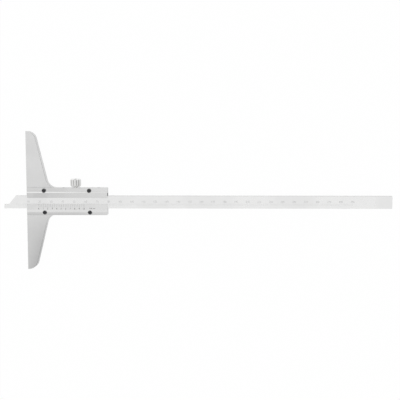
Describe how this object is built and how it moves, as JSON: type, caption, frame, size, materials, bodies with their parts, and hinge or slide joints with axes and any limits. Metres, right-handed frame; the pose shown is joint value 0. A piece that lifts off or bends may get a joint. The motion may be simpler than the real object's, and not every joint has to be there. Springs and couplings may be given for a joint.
{
  "type": "vernier depth gauge",
  "caption": "Flat steel depth gauge: a graduated beam with a narrow nose slides through a slider with a tapered wide base, read by a vernier and locked by a fluted thumb screw.",
  "frame": {"origin": "on the measuring face of the base, at its back edge, on the beam's centreline", "axes": "+X along the beam, away from its nose; +Y along the base, towards the clamp screw; +Z out of the graduated side, so the gauge lies on its back"},
  "size_m": [0.335, 0.12, 0.0092],
  "materials": {
    "frame_steel": "fine ground steel with a dull satin chrome finish, edges slightly broken",
    "beam_steel": "satin chromed steel, ground along its length, with black filled graduations",
    "plate_steel": "satin chromed steel, ground along its length",
    "black_screws": "blackened steel, lightly rubbed at the slot",
    "clamp_steel": "nickel plated steel with a fluted head",
    "gib_brass": "plain rolled brass, lightly oiled"
  },
  "bodies": {
    "slider": {"frame_with_base": "frame_steel", "keeper_plate": "plate_steel", "vernier_plate": "plate_steel", "keeper_screw_front": "black_screws", "keeper_screw_rear": "black_screws", "vernier_screw_front": "black_screws", "vernier_screw_rear": "black_screws", "gib_strip": "gib_brass", "gib_screw_front": "black_screws", "gib_screw_rear": "black_screws"},
    "beam": {"beam": "beam_steel"},
    "clamp_shoe": {"clamp_shoe": "gib_brass"},
    "clamp_screw": {"clamp_screw": "clamp_steel"}
  },
  "joints": [
    {"name": "beam_slide", "type": "slide", "parent": "slider", "child": "beam", "axis": [-1, 0, 0], "range_m": [-0.0195, 0.2305]},
    {"name": "clamp_lift", "type": "slide", "parent": "slider", "child": "clamp_shoe", "axis": [0, 1, 0], "range_m": [-0.00008, 0.001]},
    {"name": "clamp_turn", "type": "hinge", "parent": "clamp_shoe", "child": "clamp_screw", "pos_m": [0.0425, 0.0133, 0.00465], "axis": [0, 1, 0], "range_deg": [-60.5, 720.5]}
  ],
  "couplings": [
    {"joint": "clamp_turn", "follows": "clamp_lift", "rad_per_m": 12566}
  ]
}
